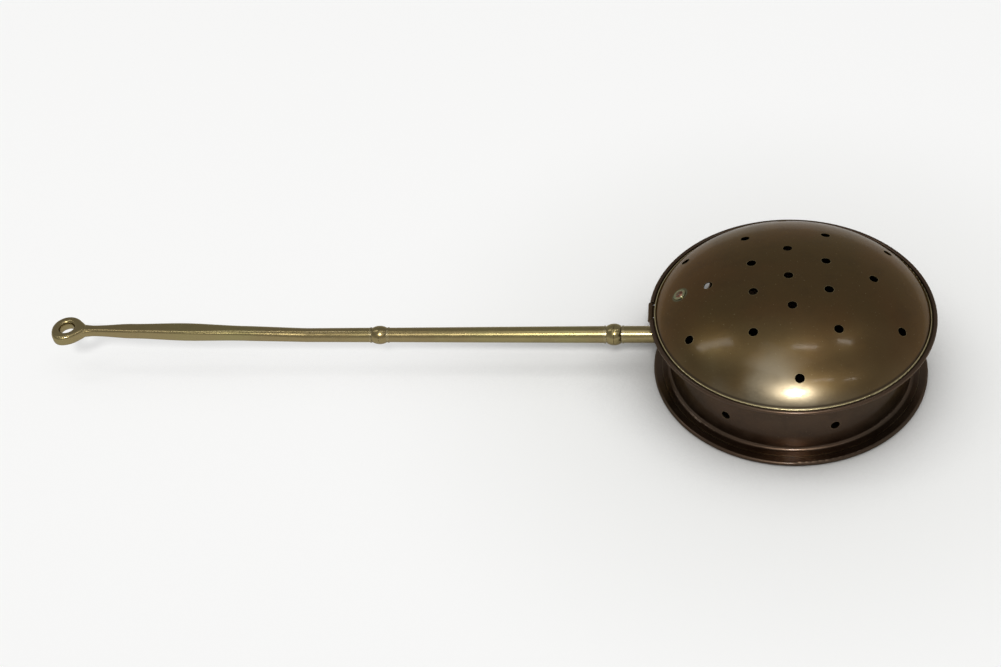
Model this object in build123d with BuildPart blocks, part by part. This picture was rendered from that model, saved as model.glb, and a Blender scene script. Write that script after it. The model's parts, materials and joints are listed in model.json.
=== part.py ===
from build123d import *
import os
from math import acos, asin, atan2, cos, degrees, hypot, radians, sin, sqrt

# An antique brass bed warmer: a drum-shaped ember pan with a wired rim, a pierced dome lid on a
# hidden strap hinge, and a long handle in sections that meet inside turned knops.
# Millimetres, +Z up. The origin is the centre of the pan's underside, and the handle runs along -X.

quarter_turn = 90.0

# Sheet metal
pan_sheet = 1.4
lid_sheet = 1.0
bead_radius = 2.5
wire_play = 0.05

# Pan
wall_radius = 124.0
wall_cove = 4.0
rim_width = 21.0
rim_height = 78.3
flange_drop = 0.5
foot_width = 9.0
base_margin = 8.7
base_disc_inset = 8.0
base_step = 4.0
base_step_fillet = 3.0

# Vent holes in the pan wall: equal stations round the drum, with one left out for the handle
vent_radius = 4.8
vent_height = 35.0
vent_stations = 7
vent_turn = 6.0

# Lid
lid_gap = 0.4
seat_gap = 0.3
lid_height = 50.0
dome_overrun = 5.4
lid_bead_radius = 0.8
lid_hole_radius = 4.8
holes_in_ring = 6

# Rings of holes in the lid, set out by hand: each one's radius as a share of the lid's, its turn,
# and its shift off the lid's centre
hole_rings = (
    (0.308, 31.5, (-2.7, 2.6)),
    (0.591, 2.5, (-1.9, 3.4)),
    (0.860, 32.5, (-1.5, 3.0)),
)
centre_hole_shift = (-4.2, 0.5)

# Hinge
knuckle_radius = 2.6
pin_radius = 1.1
pin_clearance = 0.05
pin_outset = 3.6
strap_width = 12.0
strap_sheet = 1.2
strap_gap = 0.35
arm_drop = 0.1
strap_tongue_length = 38.6
lid_rivet_inset = 26.6
ear_width = 6.2
hinge_play = 0.4
pin_overhang = 0.5
leaf_setback = 0.4
leaf_rivet_inset = 3.3
small_rivet_radius = 1.6
small_head_radius = 2.8
small_head_height = 1.2

# Rivet and rove on the lid
rivet_radius = 2.2
rivet_head_radius = 4.2
rivet_head_height = 1.8
rove_radius = 6.6
rove_thickness = 1.0
rivet_play = 0.05
solder_gap = 0.1

# Handle socket
handle_height = 46.6
socket_plate_width = 54.0
socket_plate_height = 44.0
socket_plate_thickness = 2.5
socket_corner = 8.0
socket_boss_radius = 16.0
socket_boss_length = 12.0
socket_rivet_across = 40.0
socket_rivet_rise = 30.0
socket_rivet_radius = 2.0
socket_head_radius = 3.8
socket_head_height = 1.8

# Handle sections: wall to front joint, front joint to rear joint, rear joint to the eye's centre
stem_length = 58.3
middle_length = 250.4
grip_length = 347.2
knop_half_length = 10.2
knop_lip = 0.5
knop_lip_length = 1.5
knop_groove = 0.4
knop_groove_width = 0.9
knop_chamfer = 0.3
stem_radius = 9.0
front_knop_radius = 11.5
rear_tube_radius = 7.8
rear_knop_radius = 9.9
tube_wall = 1.5
spigot_length = 14.0
stud_radius = 4.0
stud_clearance = 0.05
stud_reach = 24.0
stud_end_gap = 1.0

# Grip, with its two hand sections measured from the rear joint
grip_thin_radius = 7.55
grip_round_length = 70.0
grip_rise = 7.2
grip_square_reach = 148.3
grip_square_width = 15.0
grip_square_thickness = 14.4
grip_square_corner = 5.6
grip_wide_reach = 213.3
grip_wide_width = 17.4
grip_wide_thickness = 13.9
grip_wide_corner = 3.2
grip_core_margin = 45.0
grip_core_radius = 3.6
grip_core_overlap = 3.0

# Neck and hanging eye, with the neck measured back from the eye's centre
neck_setback = 29.9
neck_width = 10.6
neck_thickness = 9.8
neck_corner = 2.6
eye_corners = ((-19, 0), (-8, -17), (18, -6), (19, 8), (11, 19.5), (-1.5, 18))
eye_corner_fillet = 5.0
eye_thickness = 11.6
eye_hole_radius = 7.8
eye_edge_fillet = 2.2
eye_side_drop = 0.8
round_share = 0.45
flare_length = 10.0
flare_middle_share = 1.4
flare_end_share = 2.0
flare_wall = 3.0

# Places that follow from the sizes
wire_bore = bead_radius - pan_sheet
wire_radius = wire_bore - wire_play
wall_inside = wall_radius - pan_sheet
rim_radius = wall_radius + rim_width
foot_radius = wall_radius + foot_width
base_radius = foot_radius + base_margin
base_disc_radius = wall_radius - base_disc_inset
base_bead_place = base_radius - bead_radius
base_shelf = 2 * bead_radius
rim_bead_place = rim_radius - bead_radius
flange_top = rim_height - flange_drop
lid_edge = rim_radius - 2 * bead_radius - lid_gap
lid_seat = flange_top + seat_gap
dome_radius = lid_edge + dome_overrun
edge_turn = acos(lid_edge / dome_radius)
dome_rise = lid_height / (1 - sin(edge_turn))
dome_centre = lid_seat - dome_rise * sin(edge_turn)
strap_end_place = lid_edge - strap_tongue_length
lid_rivet_place = lid_edge - lid_rivet_inset
pin_place = lid_edge + pin_outset
leaf_top = flange_top - pan_sheet
leaf_bottom = leaf_top - strap_sheet
pin_height = leaf_bottom + knuckle_radius
leaf_inner_place = wall_radius + wall_cove + leaf_setback
leaf_rivet_place = leaf_inner_place + leaf_rivet_inset
ear_inside = strap_width / 2 + hinge_play
ear_outside = ear_inside + ear_width
notch_half = ear_outside + pin_overhang + hinge_play
slot_reach = bead_radius + strap_sheet
arm_top = lid_seat - arm_drop
arm_bottom = arm_top - strap_sheet
handle_axis = Axis((0, 0, handle_height), (-1, 0, 0))
socket_inside = wall_radius + solder_gap
plate_outside = socket_inside + socket_plate_thickness
boss_start = plate_outside - socket_plate_thickness / 2
boss_end = plate_outside + socket_boss_length
front_joint = wall_radius + stem_length
rear_joint = front_joint + middle_length
eye_centre = rear_joint + grip_length
grip_square_place = rear_joint + grip_square_reach
grip_wide_place = rear_joint + grip_wide_reach
neck_place = eye_centre - neck_setback
grip_core_end = neck_place - grip_core_margin
handle_start = front_joint - knop_half_length
tube_start = front_joint + knop_half_length
tube_end = rear_joint - knop_half_length
grip_start = rear_joint + knop_half_length
round_end = grip_start + grip_round_length


def dome_plane(radius, turn, depth=0.0):
    """The plane that touches the dome at a radius and a turn about the axis, facing out."""
    height = sqrt(1 - (radius / dome_radius) ** 2)
    outward = radius * dome_rise / dome_radius
    upward = dome_radius * height
    along, across = cos(radians(turn)), sin(radians(turn))
    place = (radius * along, radius * across, dome_centre + dome_rise * height)
    facing = (outward * along, outward * across, upward)
    return Plane(origin=place, x_dir=(-across, along, 0), z_dir=facing).offset(-depth)


def wall_plane(turn, height, radius):
    """A plane that faces out of the drum at a turn about the axis, a height and a radius."""
    outward = (cos(radians(turn)), sin(radians(turn)), 0)
    place = (radius * outward[0], radius * outward[1], height)
    return Plane(origin=place, x_dir=(-outward[1], outward[0], 0), z_dir=outward)


def handle_plane(place, lift=0.0):
    """The plane square to the handle at a distance from the pan's axis, facing the eye."""
    return Plane(origin=(-place, 0, handle_height + lift), x_dir=(0, 1, 0), z_dir=(-1, 0, 0))


def profile_plane(place, side):
    """The upright plane through the handle's axis: x runs away from a place, y is the radius."""
    return Plane(origin=(-place, 0, handle_height), x_dir=(-side, 0, 0), z_dir=(0, side, 0))


def pin_plane(across):
    """The plane square to the hinge pin at a distance across the handle's line."""
    return Plane(origin=(-pin_place, across, pin_height), x_dir=(1, 0, 0), z_dir=(0, 1, 0))


def rise(place):
    """How far the grip's middle has risen above the handle's axis at a distance from the pan."""
    return grip_rise * sin(radians(quarter_turn) * (place - round_end) / (eye_centre - round_end))


def finish(builder, name):
    """Names a finished piece and writes it out."""
    builder.part.label = name
    export_step(builder.part, f"parts/{name}.step")
    print(name, "solids", len(builder.part.solids()), "volume", round(builder.part.volume))


def rivet_form(shank, grip, head, head_height, tail, tail_height):
    """A rivet whose head sits on the plane z = 0 and whose tail is peened a grip length below."""
    with BuildPart() as rivet:
        with BuildSketch(Plane.XZ):
            with BuildLine():
                TangentArc((0, head_height), (head, 0), tangent=(1, 0))
                Polyline((head, 0), (shank, 0), (shank, -grip), (tail, -grip))
                TangentArc((0, -grip - tail_height), (tail, -grip), tangent=(1, 0))
                Line((0, -grip - tail_height), (0, head_height))
            make_face()
        revolve(axis=Axis.Z)
    return rivet.part


socket_rivet_turn = degrees(asin(socket_rivet_across / 2 / wall_radius))
socket_rivet_planes = [
    wall_plane(180 + side * socket_rivet_turn, handle_height + level, plate_outside)
    for side in (-1, 1)
    for level in (-socket_rivet_rise / 2, socket_rivet_rise / 2)
]
hole_places = [centre_hole_shift] + [
    (
        shift[0] + share * lid_edge * cos(radians(turn + hole * 360 / holes_in_ring)),
        shift[1] + share * lid_edge * sin(radians(turn + hole * 360 / holes_in_ring)),
    )
    for share, turn, shift in hole_rings
    for hole in range(holes_in_ring)
]
leaf_rivet_spots = [(-leaf_rivet_place, side * (ear_inside + ear_width / 2)) for side in (-1, 1)]

os.makedirs("parts", exist_ok=True)

# The drum: one sheet, turned out at the foot and at the rim, with the rim rolled round a wire
vent_step = 360 / vent_stations
with BuildPart() as pan_wall:
    with BuildSketch(Plane.XZ):
        with BuildLine():
            FilletPolyline(
                (foot_radius, base_shelf),
                (wall_inside, base_shelf),
                (wall_inside, flange_top),
                (rim_bead_place - (wire_bore + pan_sheet) / 2, flange_top),
                radius=wall_cove + pan_sheet,
            )
            offset(amount=pan_sheet, side=Side.RIGHT, closed=True)
        make_face()
        with Locations((rim_bead_place, rim_height)):
            Circle(bead_radius)
            Circle(wire_bore, mode=Mode.SUBTRACT)
    revolve(axis=Axis.Z)
    for station in range(1, vent_stations):
        with BuildSketch(wall_plane(180 + station * vent_step + vent_turn, vent_height, wall_radius)):
            Circle(vent_radius)
        extrude(amount=2 * pan_sheet, both=True, mode=Mode.SUBTRACT)
    # The rim is cut away for the hinge, back to under the lid's edge
    with BuildSketch(Plane.XY.offset(leaf_bottom - bead_radius)):
        with Locations((-rim_radius, 0)):
            Rectangle(2 * (rim_radius - lid_edge + slot_reach), 2 * notch_half)
    extrude(amount=4 * bead_radius + pan_sheet, mode=Mode.SUBTRACT)
    with BuildSketch(Plane.XY.offset(leaf_bottom)):
        with Locations(*leaf_rivet_spots):
            Circle(small_rivet_radius + rivet_play)
    extrude(amount=3 * pan_sheet, mode=Mode.SUBTRACT)
    for spot in socket_rivet_planes:
        with BuildSketch(spot):
            Circle(socket_rivet_radius + rivet_play)
        extrude(amount=2 * pan_sheet + 2 * socket_plate_thickness, both=True, mode=Mode.SUBTRACT)
finish(pan_wall, "pan_wall")

# The base: a dished disc whose shelf carries the drum's foot, with its own wired edge
with BuildPart() as base_dish:
    with BuildSketch(Plane.XZ):
        with BuildLine():
            FilletPolyline(
                (0, 0),
                (base_disc_radius, 0),
                (base_disc_radius + base_step, base_shelf - pan_sheet),
                (base_bead_place, base_shelf - pan_sheet),
                radius=base_step_fillet,
            )
            offset(amount=pan_sheet, side=Side.LEFT, closed=True)
        make_face()
        with Locations((base_bead_place, bead_radius)):
            Circle(bead_radius)
            Circle(wire_bore, mode=Mode.SUBTRACT)
    revolve(axis=Axis.Z)
finish(base_dish, "base_dish")

# The iron wires inside the two rolled edges; the rim's wire stops each side of the hinge
with BuildPart() as rim_wire:
    with BuildSketch(Plane.XZ):
        with Locations((rim_bead_place, rim_height)):
            Circle(wire_radius)
    revolve(axis=Axis.Z)
    with BuildSketch(Plane.XY.offset(rim_height - bead_radius)):
        with Locations((-rim_radius, 0)):
            Rectangle(4 * bead_radius, 2 * notch_half)
    extrude(amount=2 * bead_radius, mode=Mode.SUBTRACT)
finish(rim_wire, "rim_wire")

with BuildPart() as base_wire:
    with BuildSketch(Plane.XZ):
        with Locations((base_bead_place, bead_radius)):
            Circle(wire_radius)
    revolve(axis=Axis.Z)
finish(base_wire, "base_wire")

# The lid: a thin dome with a small hemmed edge, pierced with a centre hole and three rings of holes
with BuildPart() as lid_dome:
    with BuildSketch(Plane.XZ):
        with BuildLine():
            outside = EllipticalCenterArc((0, dome_centre), dome_radius, dome_rise, arc_size=quarter_turn)
            inside = EllipticalCenterArc(
                (0, dome_centre), dome_radius - lid_sheet, dome_rise - lid_sheet,
                arc_size=quarter_turn,
            )
            Line(outside @ 0, inside @ 0)
            Line(outside @ 1, inside @ 1)
        make_face()
    revolve(axis=Axis.Z)
    split(bisect_by=Plane.XY.offset(lid_seat), keep=Keep.TOP)
    with BuildSketch(Plane.XZ):
        with Locations((lid_edge - lid_bead_radius, lid_seat + lid_bead_radius)):
            Circle(lid_bead_radius)
    revolve(axis=Axis.Z)
    for place in hole_places:
        with BuildSketch(dome_plane(hypot(*place), degrees(atan2(place[1], place[0])))):
            Circle(lid_hole_radius)
        extrude(amount=2 * lid_sheet, both=True, mode=Mode.SUBTRACT)
    with BuildSketch(dome_plane(lid_rivet_place, 180)):
        Circle(rivet_radius + rivet_play)
    extrude(amount=2 * lid_sheet, both=True, mode=Mode.SUBTRACT)
finish(lid_dome, "lid_dome")

# The strap: a knuckle, an arm that passes under the lid's edge, and a tongue along the dome
strap_outer = lid_sheet + strap_gap
strap_inner = strap_outer + strap_sheet
strap_turn = degrees(acos(strap_end_place / dome_radius))
with BuildPart() as lid_strap:
    with BuildSketch(Plane.XZ):
        with BuildLine():
            upper = EllipticalCenterArc(
                (0, dome_centre), dome_radius - strap_outer, dome_rise - strap_outer,
                start_angle=180 - strap_turn, arc_size=strap_turn,
            )
            lower = EllipticalCenterArc(
                (0, dome_centre), dome_radius - strap_inner, dome_rise - strap_inner,
                start_angle=180 - strap_turn, arc_size=strap_turn,
            )
            Line(upper @ 0, lower @ 0)
            Line(upper @ 1, lower @ 1)
        make_face()
    extrude(amount=strap_width / 2, both=True)
    split(bisect_by=Plane.XY.offset(arm_bottom), keep=Keep.TOP)
    tongue_foot = (dome_radius - (strap_outer + strap_inner) / 2) * cos(edge_turn)
    with BuildSketch(Plane.XZ):
        with Locations((-(pin_place + tongue_foot) / 2, (arm_top + arm_bottom) / 2)):
            Rectangle(pin_place - tongue_foot, strap_sheet)
        with Locations((-pin_place, pin_height)):
            Circle(knuckle_radius)
    extrude(amount=strap_width / 2, both=True)
    with BuildSketch(Plane.XZ):
        with Locations((-pin_place, pin_height)):
            Circle(pin_radius + pin_clearance)
    extrude(amount=strap_width, both=True, mode=Mode.SUBTRACT)
    with BuildSketch(dome_plane(lid_rivet_place, 180)):
        Circle(rivet_radius + rivet_play)
    extrude(amount=2 * strap_inner, both=True, mode=Mode.SUBTRACT)
finish(lid_strap, "lid_strap")

# The fixed leaf: a plate riveted under the rim, with an ear and a knuckle each side of the strap
with BuildPart() as hinge_leaf:
    with BuildSketch(Plane.XY.offset(leaf_bottom)):
        with Locations((-(leaf_inner_place + pin_place) / 2, 0)):
            Rectangle(pin_place - leaf_inner_place, 2 * ear_outside)
        with Locations((-pin_place, 0)):
            Rectangle(2 * (pin_outset + slot_reach), 2 * ear_inside, mode=Mode.SUBTRACT)
        with Locations(*leaf_rivet_spots):
            Circle(small_rivet_radius + rivet_play, mode=Mode.SUBTRACT)
    extrude(amount=strap_sheet)
    for side in (-1, 1):
        ear_middle = side * (ear_inside + ear_width / 2)
        with BuildSketch(pin_plane(ear_middle)):
            Circle(knuckle_radius)
        extrude(amount=ear_width / 2, both=True)
        with BuildSketch(pin_plane(ear_middle)):
            Circle(pin_radius + pin_clearance)
        extrude(amount=ear_width, both=True, mode=Mode.SUBTRACT)
finish(hinge_leaf, "hinge_leaf")

with BuildPart() as hinge_pin:
    with BuildSketch(pin_plane(0)):
        Circle(pin_radius)
    extrude(amount=ear_outside + pin_overhang, both=True)
    fillet(hinge_pin.edges().filter_by(GeomType.CIRCLE), pin_radius / 3)
finish(hinge_pin, "hinge_pin")

leaf_rivet = rivet_form(
    small_rivet_radius, pan_sheet + strap_sheet, small_head_radius, small_head_height,
    small_head_radius, small_head_height,
)
with BuildPart() as leaf_rivets:
    with Locations(*[(x, y, flange_top) for x, y in leaf_rivet_spots]):
        add(leaf_rivet)
finish(leaf_rivets, "leaf_rivets")

# The copper rivet that holds the lid on its strap, over a raised brass rove
with BuildPart() as rivet_rove:
    with BuildSketch(dome_plane(lid_rivet_place, 180)):
        Circle(rove_radius)
        Circle(rivet_radius + rivet_play, mode=Mode.SUBTRACT)
    extrude(amount=rove_thickness)
    fillet(rivet_rove.edges().filter_by(GeomType.CIRCLE).sort_by(SortBy.RADIUS)[-1], rove_thickness / 2)
finish(rivet_rove, "rivet_rove")

lid_rivet_form = rivet_form(
    rivet_radius, rove_thickness + strap_inner + solder_gap, rivet_head_radius, rivet_head_height,
    rivet_head_radius, rivet_head_height / 2,
)
with BuildPart() as lid_rivet:
    with Locations(dome_plane(lid_rivet_place, 180, -rove_thickness)):
        add(lid_rivet_form)
finish(lid_rivet, "lid_rivet")

# The cast socket: a plate curved to the wall, a trumpet boss and the handle's first stretch
with BuildPart() as handle_socket:
    with BuildSketch(Plane.XY.offset(handle_height - socket_plate_height / 2)):
        Circle(plate_outside)
    extrude(amount=socket_plate_height)
    with BuildSketch(handle_plane(0)):
        RectangleRounded(socket_plate_width, socket_plate_height, socket_corner)
    extrude(amount=2 * wall_radius, mode=Mode.INTERSECT)
    with BuildSketch(profile_plane(0, 1)):
        with BuildLine():
            Polyline(
                (boss_end, stem_radius), (handle_start, stem_radius), (handle_start, 0),
                (0, 0), (0, socket_boss_radius), (boss_start, socket_boss_radius),
            )
            TangentArc((boss_end, stem_radius), (boss_start, socket_boss_radius), tangent=(-1, 0))
        make_face()
    revolve(axis=handle_axis)
    with BuildSketch(Plane.XY):
        Circle(socket_inside)
    extrude(amount=rim_height, mode=Mode.SUBTRACT)
    with BuildSketch(handle_plane(front_joint - stud_reach - stud_end_gap)):
        Circle(stud_radius + stud_clearance)
    extrude(amount=stud_reach + stud_end_gap, mode=Mode.SUBTRACT)
    for spot in socket_rivet_planes:
        with BuildSketch(spot):
            Circle(socket_rivet_radius + rivet_play)
        extrude(amount=2 * socket_plate_thickness, both=True, mode=Mode.SUBTRACT)
finish(handle_socket, "handle_socket")

socket_rivet = rivet_form(
    socket_rivet_radius, socket_plate_thickness + solder_gap + pan_sheet + 2 * solder_gap,
    socket_head_radius, socket_head_height, socket_head_radius, socket_head_height / 2,
)
with BuildPart() as socket_rivets:
    with Locations(*socket_rivet_planes):
        add(socket_rivet)
finish(socket_rivets, "socket_rivets")


def half_knop(joint, side, knop_radius, tube_radius, spigot_radius):
    """Half of a turned knop, from its parting face to its lip, with a spigot for a hollow tube."""
    lip_radius = tube_radius + knop_lip
    groove_radius = tube_radius - knop_groove
    groove_end = knop_half_length - knop_lip_length
    shoulder = groove_end - knop_groove_width
    swell = shoulder / sqrt(1 - (tube_radius / knop_radius) ** 2)
    lip_turn = degrees(asin(tube_radius / knop_radius))
    with BuildPart() as half:
        with BuildSketch(profile_plane(joint, side)):
            with BuildLine():
                arc = EllipticalCenterArc(
                    (0, 0), swell, knop_radius,
                    start_angle=lip_turn, arc_size=quarter_turn - lip_turn,
                )
                Polyline(
                    arc @ 0, (shoulder, groove_radius), (groove_end, groove_radius),
                    (groove_end, lip_radius), (knop_half_length, lip_radius),
                    (knop_half_length, 0), (0, 0), arc @ 1,
                )
            make_face()
            if spigot_radius > 0:
                with Locations((knop_half_length + spigot_length / 2, spigot_radius / 2)):
                    Rectangle(spigot_length, spigot_radius)
        revolve(axis=handle_axis)
        chamfer(half.edges().filter_by(GeomType.CIRCLE).sort_by(SortBy.RADIUS)[-1], knop_chamfer)
        with BuildSketch(handle_plane(joint)):
            Circle(stud_radius + stud_clearance)
        extrude(amount=side * (knop_half_length + spigot_length), mode=Mode.SUBTRACT)
    return half


def joint_stud(joint):
    """The stud inside a knop that draws two sections of the handle together."""
    with BuildPart() as stud:
        with BuildSketch(handle_plane(joint)):
            Circle(stud_radius)
        extrude(amount=stud_reach, both=True)
        chamfer(stud.edges().filter_by(GeomType.CIRCLE), stud_radius / 4)
    return stud


front_spigot = stem_radius - tube_wall - solder_gap
rear_spigot = rear_tube_radius - tube_wall - solder_gap
finish(half_knop(front_joint, -1, front_knop_radius, stem_radius, 0), "front_knop_pan_half")
finish(half_knop(front_joint, 1, front_knop_radius, stem_radius, front_spigot), "front_knop_tube_half")
finish(half_knop(rear_joint, -1, rear_knop_radius, rear_tube_radius, rear_spigot), "rear_knop_tube_half")
finish(half_knop(rear_joint, 1, rear_knop_radius, rear_tube_radius, 0), "rear_knop_grip_half")
finish(joint_stud(front_joint), "front_stud")
finish(joint_stud(rear_joint), "rear_stud")

# The middle section: a tube that tapers towards the hand
with BuildPart() as middle_tube:
    with BuildSketch(profile_plane(0, 1)):
        with BuildLine():
            Polyline(
                (tube_start, stem_radius), (tube_end, rear_tube_radius),
                (tube_end, rear_tube_radius - tube_wall), (tube_start, stem_radius - tube_wall),
                close=True,
            )
        make_face()
    revolve(axis=handle_axis)
finish(middle_tube, "middle_tube")

# The grip: round at the knop, squared in the hand, drawn in to a neck and ended by the eye.
# Past the round stretch it rises gently, and the bore for the stud runs on as a slanted core.
eye_side = eye_thickness - eye_side_drop
eye_height = handle_height + rise(eye_centre)
bore_end = round_end - grip_core_overlap
core_start = bore_end - grip_core_overlap
core_slope = atan2(rise(grip_core_end), grip_core_end - core_start)
grip_sections = (
    (round_end, 2 * grip_thin_radius, 2 * grip_thin_radius, 2 * grip_thin_radius * round_share),
    (grip_square_place, grip_square_width, grip_square_thickness, grip_square_corner),
    (grip_wide_place, grip_wide_width, grip_wide_thickness, grip_wide_corner),
    (neck_place, neck_width, neck_thickness, neck_corner),
)
flare_sections = (
    (neck_place, neck_width, neck_thickness, neck_corner),
    (neck_place + flare_length, flare_middle_share * neck_width, (neck_thickness + eye_side) / 2,
     neck_corner),
    (eye_centre - eye_hole_radius - flare_wall, flare_end_share * neck_width, eye_side, neck_corner),
)
with BuildPart() as handle_grip:
    with BuildSketch(Plane(origin=(-eye_centre, 0, eye_height - eye_thickness / 2))):
        Polygon(*eye_corners, align=None)
        fillet(vertices(), eye_corner_fillet)
        Circle(eye_hole_radius, mode=Mode.SUBTRACT)
    extrude(amount=eye_thickness)
    fillet(handle_grip.edges().filter_by(Plane.XY), eye_edge_fillet)
    with BuildSketch(profile_plane(0, 1)):
        with BuildLine():
            Polyline(
                (grip_start, 0), (grip_start, rear_tube_radius), (round_end, grip_thin_radius),
                (round_end, 0), close=True,
            )
        make_face()
    revolve(axis=handle_axis)
    for sections in (grip_sections, flare_sections):
        for place, width, thickness, corner in sections:
            with BuildSketch(handle_plane(place, rise(place))):
                RectangleRounded(width, thickness, corner)
        loft()
    with BuildSketch(handle_plane(grip_start)):
        Circle(stud_radius + stud_clearance)
    extrude(amount=bore_end - grip_start, mode=Mode.SUBTRACT)
    core_way = (-cos(core_slope), 0, sin(core_slope))
    with BuildSketch(Plane(origin=(-core_start, 0, handle_height), x_dir=(0, 1, 0), z_dir=core_way)):
        Circle(grip_core_radius)
    extrude(amount=grip_core_end - core_start, mode=Mode.SUBTRACT)
finish(handle_grip, "handle_grip")
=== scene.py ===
import json
from math import copysign, cos, pi, radians, sin

import bmesh
import bpy
from mathutils import Matrix, Vector


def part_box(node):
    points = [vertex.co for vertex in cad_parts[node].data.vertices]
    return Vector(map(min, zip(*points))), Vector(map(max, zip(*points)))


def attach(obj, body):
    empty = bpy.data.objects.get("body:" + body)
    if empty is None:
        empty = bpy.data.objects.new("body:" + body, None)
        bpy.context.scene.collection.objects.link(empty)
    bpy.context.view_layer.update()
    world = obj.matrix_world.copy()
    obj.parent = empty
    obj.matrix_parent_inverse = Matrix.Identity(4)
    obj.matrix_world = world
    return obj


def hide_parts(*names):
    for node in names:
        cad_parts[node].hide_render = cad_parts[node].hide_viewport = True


# The antique bed warmer's looks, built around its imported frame. Metres, +Z up, handle along -X.
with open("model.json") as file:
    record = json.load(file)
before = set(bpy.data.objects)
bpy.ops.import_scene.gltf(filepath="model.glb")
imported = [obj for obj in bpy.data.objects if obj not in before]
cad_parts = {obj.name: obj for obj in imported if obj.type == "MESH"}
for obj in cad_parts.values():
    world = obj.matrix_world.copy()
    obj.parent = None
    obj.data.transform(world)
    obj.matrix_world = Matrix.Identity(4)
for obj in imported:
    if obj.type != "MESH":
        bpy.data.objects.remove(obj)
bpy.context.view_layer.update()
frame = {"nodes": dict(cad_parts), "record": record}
nodes = frame["nodes"]

# Places taken from the frame
lid_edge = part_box("lid_dome")[1][0]
rove_low, rove_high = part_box("rivet_rove")
rove_centre = [(low + high) / 2 for low, high in zip(rove_low, rove_high)]
rove_radius = (rove_high[1] - rove_low[1]) / 2
tube_low, tube_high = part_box("middle_tube")
handle_height = (tube_low[2] + tube_high[2]) / 2
grip_start = -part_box("handle_grip")[1][0]
eye_bore = next(mount for mount in frame["record"]["mounts"] if mount["name"] == "hanging_eye")
eye_centre = Vector(eye_bore["pos_m"])
eye_place = -eye_centre.x
eye_hole_radius = eye_bore["dims"]["r_mm"] / 1000


def linear(red, green, blue):
    """A colour given in the 0 to 255 values of a picture, as the linear values that shaders take."""
    def channel(value):
        share = value / 255
        return share / 12.92 if share <= 0.04045 else ((share + 0.055) / 1.055) ** 2.4
    return (channel(red), channel(green), channel(blue), 1.0)


# Shader helpers
soft_samples = 6


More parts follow.
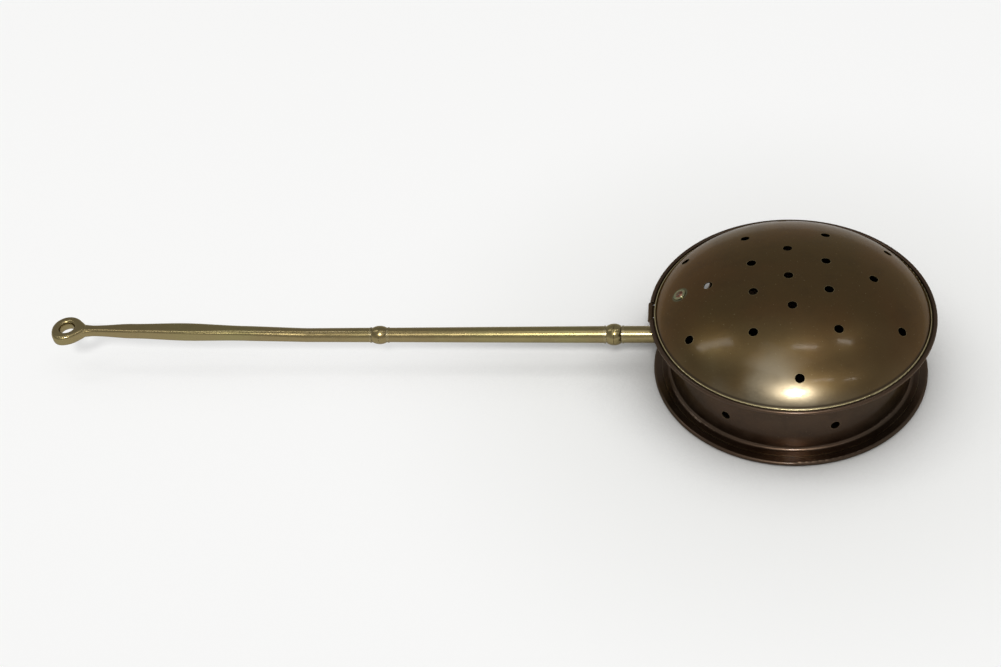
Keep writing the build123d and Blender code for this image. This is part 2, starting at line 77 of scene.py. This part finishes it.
class Shader:
    """A material's node tree with short calls for the nodes that the finishes use."""

    def __init__(self, name):
        self.material = bpy.data.materials.new(name)
        self.material.use_nodes = True
        self.tree = self.material.node_tree
        self.surface = self.tree.nodes["Principled BSDF"]
        self.place = self.add("ShaderNodeTexCoord").outputs["Object"]

    def add(self, kind, **settings):
        """A new node with its settings."""
        node = self.tree.nodes.new(kind)
        for name, value in settings.items():
            setattr(node, name, value)
        return node

    def link(self, source, target):
        """Links an output to an input."""
        self.tree.links.new(source, target)

    def put(self, value, socket):
        """Links a socket, or sets a number or colour."""
        if isinstance(value, bpy.types.NodeSocket):
            self.link(value, socket)
        else:
            socket.default_value = value

    def noise(self, scale, detail=3.0, roughness=0.55, stretch=(1, 1, 1), shift=(0, 0, 0), twist=0.0):
        """Noise by place in metres, with a scale in features to a metre."""
        mapping = self.add("ShaderNodeMapping")
        mapping.inputs["Scale"].default_value = stretch
        mapping.inputs["Location"].default_value = shift
        self.link(self.place, mapping.inputs["Vector"])
        texture = self.add("ShaderNodeTexNoise")
        texture.inputs["Scale"].default_value = scale
        texture.inputs["Detail"].default_value = detail
        texture.inputs["Roughness"].default_value = roughness
        texture.inputs["Distortion"].default_value = twist
        self.link(mapping.outputs["Vector"], texture.inputs["Vector"])
        return texture.outputs["Fac"]

    def math(self, operation, first, second):
        """A sum, product or other reckoning with two inputs."""
        node = self.add("ShaderNodeMath", operation=operation)
        self.put(first, node.inputs[0])
        self.put(second, node.inputs[1])
        return node.outputs[0]

    def band(self, value, low, high, start=0.0, end=1.0):
        """A smooth step from one value to another between two levels of an input."""
        node = self.add("ShaderNodeMapRange", interpolation_type="SMOOTHSTEP")
        self.put(value, node.inputs["Value"])
        node.inputs["From Min"].default_value = low
        node.inputs["From Max"].default_value = high
        node.inputs["To Min"].default_value = start
        node.inputs["To Max"].default_value = end
        return node.outputs["Result"]

    def mix(self, share, first, second):
        """The first colour, replaced by the second to the extent of the share."""
        node = self.add("ShaderNodeMix", data_type="RGBA")
        self.put(share, node.inputs["Factor"])
        self.put(first, node.inputs["A"])
        self.put(second, node.inputs["B"])
        return node.outputs["Result"]

    def edges(self, radius, low, high):
        """How near a sharp outer or inner edge a point is, from the bevelled normal."""
        bevel = self.add("ShaderNodeBevel", samples=soft_samples)
        bevel.inputs["Radius"].default_value = radius
        geometry = self.add("ShaderNodeNewGeometry")
        dot = self.add("ShaderNodeVectorMath", operation="DOT_PRODUCT")
        self.link(bevel.outputs["Normal"], dot.inputs[0])
        self.link(geometry.outputs["Normal"], dot.inputs[1])
        return self.band(dot.outputs["Value"], low, high, 1.0, 0.0)

    def crevices(self, reach, low, high):
        """How closed in a point is by what stands within a reach of it."""
        openness = self.add("ShaderNodeAmbientOcclusion", samples=soft_samples)
        openness.inputs["Distance"].default_value = reach
        return self.band(openness.outputs["AO"], low, high, 1.0, 0.0)

    def along(self, axis):
        """The place along one axis, X, Y or Z."""
        parts = self.add("ShaderNodeSeparateXYZ")
        self.link(self.place, parts.inputs["Vector"])
        return parts.outputs[axis]

    def distance(self, centre, share=(1, 1, 1)):
        """The distance from a centre, with each axis weighted by its share."""
        away = self.add("ShaderNodeVectorMath", operation="SUBTRACT")
        self.link(self.place, away.inputs[0])
        away.inputs[1].default_value = centre
        weighted = self.add("ShaderNodeVectorMath", operation="MULTIPLY")
        self.link(away.outputs["Vector"], weighted.inputs[0])
        weighted.inputs[1].default_value = share
        length = self.add("ShaderNodeVectorMath", operation="LENGTH")
        self.link(weighted.outputs["Vector"], length.inputs[0])
        return length.outputs["Value"]

    def bump(self, height, distance, under=None):
        """A normal raised by a height, over the relief of another normal where one is given."""
        node = self.add("ShaderNodeBump")
        node.inputs["Distance"].default_value = distance
        self.link(height, node.inputs["Height"])
        if under is not None:
            self.link(under, node.inputs["Normal"])
        return node.outputs["Normal"]


# Patterns in the metal, and painted light on it: scales in features to a metre, reaches in metres
drift_scale = 9
cloud_scale = 42
fleck_scale = 620
scratch_scale = 820
hand_work_scale = 17
front_scale = 11
bloom_scale = 260
grime_and_shade_reach = 0.004
rubbed_reach = 0.0009
everywhere = (1, 1, 1)
along_handle = (0.08, 1, 1)
from_upright_axis = (1, 1, 0)
coat_roughness = 0.12
edge_tint = (0.5, 0.46, 0.4, 1.0)
verdigris = linear(108, 128, 104)
# Painted shade for the lid's crease, and painted sheen and highlight for its front
crease_painted_shade = linear(48, 38, 26)
front_olive_and_sheen = linear(118, 108, 76)
front_painted_highlight = linear(150, 146, 132)

# Marks and painted light on the lid, in metres: places along Y, distances in from its edge, and distances
# out from the rove
olive_sheen_begins = -0.05
painted_highlight_begins = -0.10
front_sheen_full = -0.13
crease_shade_begins = 0.0032
crease_shade_full = 0.0020
crease_shade_thins = 0.0018
hem_wear_and_glint_begins = 0.0014
crease_shade_ends = 0.0013
hem_wear_and_glint_full = 0.0008
bloom_full = 0.0008
bloom_ends = 0.0035


def aged_metal(name, ground, warm, stain, bright, gloss=(0.26, 0.36), mottle=0.6, worn=0.6, grime_and_shade=0.7,
               coat=0.2, dents=0.0006, pits=0.000012, grain=everywhere, marks=None):
    """Old metal: soft clouds of two tones, stains, pits, grime and painted shade in its corners, and
    rubbed edges.
    """
    shader = Shader(name)
    drifts = shader.noise(drift_scale, 2, 0.5, shift=(0.3, 0.1, 0.7), twist=0.3)
    clouds = shader.noise(cloud_scale, 4, 0.6, shift=(1.3, 0.4, 0.2), twist=0.2)
    flecks = shader.noise(fleck_scale, 2, 0.5, shift=(0.1, 2.4, 0.5))
    scratches = shader.noise(scratch_scale, 2, 0.5, stretch=grain, shift=(0.7, 0.2, 1.1))
    colour = shader.mix(shader.band(drifts, 0.35, 0.65, end=mottle), ground, warm)
    colour = shader.mix(shader.band(clouds, 0.46, 0.72, end=0.45 * mottle), colour, stain)
    colour = shader.mix(shader.band(flecks, 0.68, 0.78, end=0.45), colour, stain)
    colour = shader.mix(shader.band(flecks, 0.30, 0.24, end=0.30), colour, bright)
    if grime_and_shade:
        # Painted shade and grime: the colour goes towards the stain where ambient occlusion finds the
        # point closed in.
        corners = shader.crevices(grime_and_shade_reach, 0.35, 0.85)
        colour = shader.mix(shader.math("MULTIPLY", corners, grime_and_shade), colour, stain)
    edges = shader.edges(rubbed_reach, 0.75, 0.99)
    rubbed = shader.math("MULTIPLY", edges, shader.band(clouds, 0.3, 0.6, 0.5, 1.0))
    colour = shader.mix(shader.math("MULTIPLY", rubbed, worn), colour, bright)
    smooth, rough = gloss
    cloudy_gloss = shader.band(clouds, 0.3, 0.7, smooth, rough)
    scratched_gloss = shader.math("ADD", cloudy_gloss, shader.band(scratches, 0.45, 0.7, -0.02, 0.05))
    if marks:
        colour = marks(shader, colour, bright)
    shader.link(colour, shader.surface.inputs["Base Color"])
    shader.link(scratched_gloss, shader.surface.inputs["Roughness"])
    hand_work = shader.bump(shader.noise(hand_work_scale, 2, 0.5, shift=(2.0, 0.6, 0.9)), dents)
    scored = shader.bump(scratches, pits / 2, hand_work)
    pitted = shader.bump(flecks, pits, scored)
    shader.link(pitted, shader.surface.inputs["Normal"])
    shader.surface.inputs["Metallic"].default_value = 1.0
    shader.surface.inputs["Specular Tint"].default_value = edge_tint
    shader.surface.inputs["Coat Weight"].default_value = coat
    shader.surface.inputs["Coat Roughness"].default_value = coat_roughness
    return shader.material


def lid_marks(shader, colour, bright):
    """The lid's front, made lighter by an olive tint that is part tarnish and part painted sheen and by a
    pale painted highlight glow; its hem, painted bright as wear and as a highlight line, inside a painted
    shade line in its crease; and the green bloom round its rivet.
    """
    waver = shader.band(shader.noise(front_scale, 2), 0.3, 0.7, -0.02, 0.02)
    front = shader.math("ADD", shader.along("Y"), waver)
    # Painted sheen and highlight: the front turns olive, part tarnish and part painted sheen, then pale
    # as a painted highlight glow.
    colour = shader.mix(shader.band(front, olive_sheen_begins, front_sheen_full, end=0.4), colour, front_olive_and_sheen)
    colour = shader.mix(shader.band(front, painted_highlight_begins, front_sheen_full, end=0.3), colour, front_painted_highlight)
    radius = shader.distance((0, 0, 0), from_upright_axis)
    # Painted shade: a thin dark line in the crease just inside the hem.
    crease_shade_inside = shader.band(radius, lid_edge - crease_shade_begins, lid_edge - crease_shade_full)
    crease_shade_outside = shader.band(radius, lid_edge - crease_shade_thins, lid_edge - crease_shade_ends, 0.7, 0.0)
    colour = shader.mix(shader.math("MULTIPLY", crease_shade_inside, crease_shade_outside), colour, crease_painted_shade)
    # The hem is painted bright all round, as wear and as a painted highlight line.
    hem_wear_and_glint = shader.band(radius, lid_edge - hem_wear_and_glint_begins, lid_edge - hem_wear_and_glint_full)
    colour = shader.mix(hem_wear_and_glint, colour, bright)
    away = shader.distance(rove_centre)
    bloom_inside = shader.band(away, rove_radius, rove_radius + bloom_full)
    bloom_outside = shader.band(away, rove_radius + bloom_full, rove_radius + bloom_ends, 0.45, 0.0)
    return shader.mix(shader.math("MULTIPLY", bloom_inside, bloom_outside), colour, verdigris)


def bloom_marks(shader, colour, bright):
    """Patches of green on the copper and on the rove."""
    blooms = shader.noise(bloom_scale, 3, 0.6, shift=(0.4, 0.9, 0.3))
    return shader.mix(shader.band(blooms, 0.48, 0.66, end=0.55), colour, verdigris)


def dress(material, *names):
    """Gives CAD nodes a material in place of their plain one."""
    for name in names:
        mesh = nodes[name].data
        mesh.materials.clear()
        mesh.materials.append(material)


# Finishes
lid_brass = aged_metal(
    "lid_brass", ground=linear(88, 69, 38), warm=linear(100, 68, 37),
    stain=linear(62, 47, 29), bright=linear(204, 190, 146),
    gloss=(0.30, 0.37), mottle=0.5, grime_and_shade=0, coat=0.3, dents=0.0004, pits=0.000008, marks=lid_marks,
)
pan_brass = aged_metal(
    "pan_brass", ground=linear(74, 61, 49), warm=linear(82, 63, 49),
    stain=linear(48, 40, 33), bright=linear(172, 154, 118),
    gloss=(0.3, 0.42), worn=0.75,
)
hinge_brass = aged_metal(
    "hinge_brass", ground=linear(84, 68, 46), warm=linear(78, 58, 42),
    stain=linear(46, 38, 30), bright=linear(150, 134, 98),
    gloss=(0.34, 0.46), worn=0.4,
)
handle_brass = aged_metal(
    "handle_brass", ground=linear(140, 130, 86), warm=linear(138, 116, 82),
    stain=linear(100, 86, 56), bright=linear(222, 212, 176),
    gloss=(0.24, 0.28), mottle=0.5, coat=0.4, dents=0.0001, pits=0.000001, grain=along_handle,
)
copper = aged_metal(
    "copper", ground=linear(118, 70, 58), warm=linear(104, 72, 56),
    stain=linear(66, 42, 36), bright=linear(190, 142, 118),
    gloss=(0.3, 0.45), marks=bloom_marks,
)
rove_brass = aged_metal(
    "rove_brass", ground=linear(168, 164, 128), warm=linear(140, 138, 104),
    stain=linear(86, 84, 62), bright=linear(220, 216, 184),
    gloss=(0.24, 0.36), marks=bloom_marks,
)
iron = aged_metal(
    "iron", ground=linear(84, 78, 72), warm=linear(96, 66, 48),
    stain=linear(46, 40, 38), bright=linear(150, 146, 140),
    gloss=(0.4, 0.55), coat=0.0,
)
dress(lid_brass, "lid_dome")
dress(rove_brass, "rivet_rove")
dress(hinge_brass, "lid_strap", "hinge_leaf", "hinge_pin")
dress(pan_brass, "pan_wall", "base_dish")
dress(handle_brass, "handle_socket", "front_knop_pan_half", "front_knop_tube_half", "middle_tube",
      "rear_knop_tube_half", "rear_knop_grip_half", "handle_grip")
dress(copper, "lid_rivet", "leaf_rivets", "socket_rivets")
dress(iron, "rim_wire", "base_wire", "front_stud", "rear_stud")

# Sections of the grip: place from the pan's axis, half width, half height, and squareness (1 is round)
round_length = 0.070
round_end = grip_start + round_length
grip_sections = (
    (grip_start, 0.0078, 0.0078, 1.0),
    (round_end, 0.00755, 0.00755, 1.0),
    (eye_place - 0.1989, 0.0075, 0.0072, 0.74),
    (eye_place - 0.1339, 0.0087, 0.00695, 0.44),
    (eye_place - 0.0739, 0.0071, 0.0060, 0.44),
    (eye_place - 0.0299, 0.0053, 0.0049, 0.60),
    (eye_place - 0.0189, 0.0068, 0.0050, 0.66),
    (eye_place - 0.0109, 0.0092, 0.0054, 0.70),
)

# The eye: its ring's outside reaches further at the filed corner, at the neck and on the neck's side
eye_outer_radius = 0.0172
eye_half_thickness = 0.0064
eye_squareness = 0.62
corner_turn = radians(-118)
corner_reach = 0.0024
corner_power = 26
neck_reach = 0.0046
neck_power = 44
neck_side_reach = 0.0006
sharp_angle = radians(50)


def squared(angle, power):
    """Cosine and sine of an angle, bent from a circle towards a square by a power under 1."""
    return [copysign(abs(value) ** power, value) for value in (cos(angle), sin(angle))]


def skin(mesh, rings, closed):
    """Faces between rings of points, all the way round, with flat ends unless the rings close up."""
    for step in range(len(rings) if closed else len(rings) - 1):
        first = rings[step]
        second = rings[(step + 1) % len(rings)]
        for part in range(len(first)):
            after = (part + 1) % len(first)
            mesh.faces.new((first[part], second[part], second[after], first[after]))
    if not closed:
        mesh.faces.new(rings[0])
        mesh.faces.new(rings[-1])


def grip_section(place):
    """Half width, half height and squareness of the grip at a place, eased between its sections."""
    for near, far in zip(grip_sections, grip_sections[1:]):
        if place <= far[0]:
            share = max(0.0, (place - near[0]) / (far[0] - near[0]))
            share = share * share * (3 - 2 * share)
            return [start + (end - start) * share for start, end in zip(near[1:], far[1:])]
    return grip_sections[-1][1:]


def grip_rise(place):
    """How far the grip's middle has risen above the handle's axis."""
    share = max(0.0, (place - round_end) / (eye_place - round_end))
    return (eye_centre.z - handle_height) * sin(pi / 2 * share)


def grip_body(mesh):
    """The cast grip: round at the knop, squared in the hand, then a neck that spreads into the eye."""
    steps = 150
    around = 64
    grip_end = grip_sections[-1][0]
    rings = []
    for step in range(steps + 1):
        place = grip_start + (grip_end - grip_start) * step / steps
        half_width, half_height, power = grip_section(place)
        height = handle_height + grip_rise(place)
        ring = []
        for part in range(around):
            out, up = squared(2 * pi * part / around, power)
            ring.append(mesh.verts.new((-place, half_width * out, height + half_height * up)))
        rings.append(ring)
    skin(mesh, rings, closed=False)


def eye_ring(mesh):
    """The hanging eye: a cast ring, rounded all over, drawn out to the neck and to a filed corner."""
    around = 120
    across = 32
    rings = []
    for step in range(around):
        turn = 2 * pi * step / around
        corner = corner_reach * abs(cos((turn - corner_turn) / 2)) ** corner_power
        neck = neck_reach * abs(cos(turn / 2)) ** neck_power
        outer = eye_outer_radius + corner + neck + neck_side_reach * cos(turn)
        middle = (outer + eye_hole_radius) / 2
        half_width = (outer - eye_hole_radius) / 2
        ring = []
        for part in range(across):
            out, up = squared(2 * pi * part / across, eye_squareness)
            radius = middle + half_width * out
            place = Vector((radius * cos(turn), radius * sin(turn), eye_half_thickness * up))
            ring.append(mesh.verts.new(eye_centre + place))
        rings.append(ring)
    skin(mesh, rings, closed=True)


def grip_with_eye():
    """The cast grip and its eye, with the flowing form that the plainer solid stands for."""
    mesh = bmesh.new()
    grip_body(mesh)
    eye_ring(mesh)
    bmesh.ops.recalc_face_normals(mesh, faces=mesh.faces)
    data = bpy.data.meshes.new("grip_with_eye")
    mesh.to_mesh(data)
    mesh.free()
    for face in data.polygons:
        face.use_smooth = True
    data.set_sharp_from_angle(angle=sharp_angle)
    data.materials.append(handle_brass)
    piece = bpy.data.objects.new("grip_with_eye", data)
    bpy.context.scene.collection.objects.link(piece)
    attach(piece, "pan")
    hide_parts("handle_grip")


grip_with_eye()

# Studio: distances in metres, powers in watts
floor_reach = 6.0
floor_roughness = 0.9
floor_white = linear(236, 236, 234)
painted_shadow_grey = linear(120, 118, 115)
painted_shadow_reach = 0.11
glow_begins = 0.15
glow_full = 0.5
glow_share = 0.55
sky_low = 0.02
sky_high = 0.6
horizon_strength = 0.56
overhead_strength = 0.38
key_direction = (0.034, -0.636, 0.771)
key_strength = 1.9
key_spread = radians(9)
ceiling = 1.9
strip_width = 0.045


def pale_floor():
    """A wide plain floor, near white to the eye and in reflections, that keeps the object's shadow, with
    a painted shadow greying it where it is closed in near the object.
    """
    shader = Shader("floor_paint")
    shader.surface.inputs["Roughness"].default_value = floor_roughness
    ray = shader.add("ShaderNodeLightPath")
    seen = shader.math("MAXIMUM", ray.outputs["Is Camera Ray"], ray.outputs["Is Glossy Ray"])
    seen = shader.math("MAXIMUM", seen, ray.outputs["Is Transmission Ray"])
    glow = shader.add("ShaderNodeEmission")
    glow.inputs["Color"].default_value = (1, 1, 1, 1)
    # Painted contact shadow: the floor's colour greys where ambient occlusion finds it closed in by the
    # object.
    painted_contact_shadow = shader.crevices(painted_shadow_reach, 0.25, 0.9)
    paint = shader.mix(painted_contact_shadow, floor_white, painted_shadow_grey)
    shader.link(paint, shader.surface.inputs["Base Color"])
    both = shader.add("ShaderNodeMixShader")
    away = shader.distance((0, 0, 0), from_upright_axis)
    glowing = shader.band(away, glow_begins, glow_full, end=glow_share)
    shader.link(shader.math("MULTIPLY", seen, glowing), both.inputs["Fac"])
    shader.link(shader.surface.outputs["BSDF"], both.inputs[1])
    shader.link(glow.outputs["Emission"], both.inputs[2])
    shader.link(both.outputs["Shader"], shader.tree.nodes["Material Output"].inputs["Surface"])
    mesh = bpy.data.meshes.new("floor")
    corners = [
        (-floor_reach, -floor_reach, 0), (floor_reach, -floor_reach, 0),
        (floor_reach, floor_reach, 0), (-floor_reach, floor_reach, 0),
    ]
    mesh.from_pydata(corners, [], [(0, 1, 2, 3)])
    mesh.materials.append(shader.material)
    floor = bpy.data.objects.new("floor", mesh)
    bpy.context.scene.collection.objects.link(floor)


def studio_world():
    """Soft light that is pale near the horizon and darker overhead."""
    world = bpy.data.worlds.new("studio")
    world.use_nodes = True
    bpy.context.scene.world = world
    tree = world.node_tree
    background = tree.nodes["Background"]
    place = tree.nodes.new("ShaderNodeTexCoord")
    parts = tree.nodes.new("ShaderNodeSeparateXYZ")
    ramp = tree.nodes.new("ShaderNodeMapRange")
    ramp.interpolation_type = "SMOOTHSTEP"
    ramp.inputs["From Min"].default_value = sky_low
    ramp.inputs["From Max"].default_value = sky_high
    ramp.inputs["To Min"].default_value = horizon_strength
    ramp.inputs["To Max"].default_value = overhead_strength
    tree.links.new(place.outputs["Generated"], parts.inputs["Vector"])
    tree.links.new(parts.outputs["Z"], ramp.inputs["Value"])
    background.inputs["Color"].default_value = (1, 1, 1, 1)
    tree.links.new(ramp.outputs["Result"], background.inputs["Strength"])


def hang(name, light, place, aim=None):
    """Hangs a lamp at a place, facing straight down, or facing a point where one is given."""
    thing = bpy.data.objects.new(name, light)
    thing.location = place
    if aim is not None:
        thing.rotation_euler = (Vector(aim) - Vector(place)).to_track_quat("-Z", "Y").to_euler()
    bpy.context.scene.collection.objects.link(thing)


def panel(name, place, length, width, power, aim=None):
    """A flat lamp, its length along X while it hangs level."""
    light = bpy.data.lights.new(name, "AREA")
    light.shape = "RECTANGLE"
    light.size = length
    light.size_y = width
    light.energy = power
    hang(name, light, place, aim)


def key_light():
    """A distant soft lamp, on the line that puts the dome's highlight near its front edge."""
    light = bpy.data.lights.new("key", "SUN")
    light.energy = key_strength
    light.angle = key_spread
    hang("key", light, key_direction, aim=(0, 0, 0))


def photo_camera():
    """The camera of the photograph, from a fit to the rim, the base, the lid's holes and the handle."""
    focal_pixels = 1640.0
    frame_width_pixels = 1001.0
    sensor_millimetres = 36.0
    pitch = radians(43.362)
    roll = radians(7.410)
    handle_turn = radians(10.55)
    rim_centre_height = 0.0783
    rim_centre_from_camera = Vector((0.296999, -0.022216, 1.674565))
    right = Vector((1, 0, 0))
    down = Vector((0, -sin(pitch), -cos(pitch)))
    forward = Vector((0, cos(pitch), -sin(pitch)))
    turned_right = cos(roll) * right + sin(roll) * down
    turned_down = -sin(roll) * right + cos(roll) * down
    across, below, ahead = rim_centre_from_camera
    place = -(across * turned_right + below * turned_down + ahead * forward)
    axes = Matrix((turned_right, -turned_down, -forward)).transposed().to_4x4()
    to_frame = Matrix.Translation((0, 0, rim_centre_height)) @ Matrix.Rotation(handle_turn, 4, "Z")
    data = bpy.data.cameras.new("photo_camera")
    data.sensor_width = sensor_millimetres
    data.lens = focal_pixels / frame_width_pixels * sensor_millimetres
    camera = bpy.data.objects.new("photo_camera", data)
    camera.matrix_world = to_frame @ Matrix.Translation(place) @ axes
    bpy.context.scene.collection.objects.link(camera)
    bpy.context.scene.camera = camera


pale_floor()
studio_world()
photo_camera()
key_light()
panel("overhead", (-0.22, -0.30, 2.0), length=0.9, width=0.8, power=2.4, aim=(0, 0, 0.08))
panel("handle_strip", (-1.55, 0.30, ceiling), length=1.3, width=0.2, power=4)
panel("middle_strip", (0.22, 0.10, ceiling), length=0.34, width=strip_width, power=0.9)
panel("right_strip", (0.84, 0.28, ceiling), length=0.26, width=strip_width, power=0.7)
panel("front_strip", (0.62, -0.90, ceiling), length=0.5, width=strip_width, power=1.0)
panel("far_strip", (1.40, -0.94, ceiling), length=0.4, width=strip_width, power=0.8)
bpy.context.scene.view_settings.view_transform = "Standard"
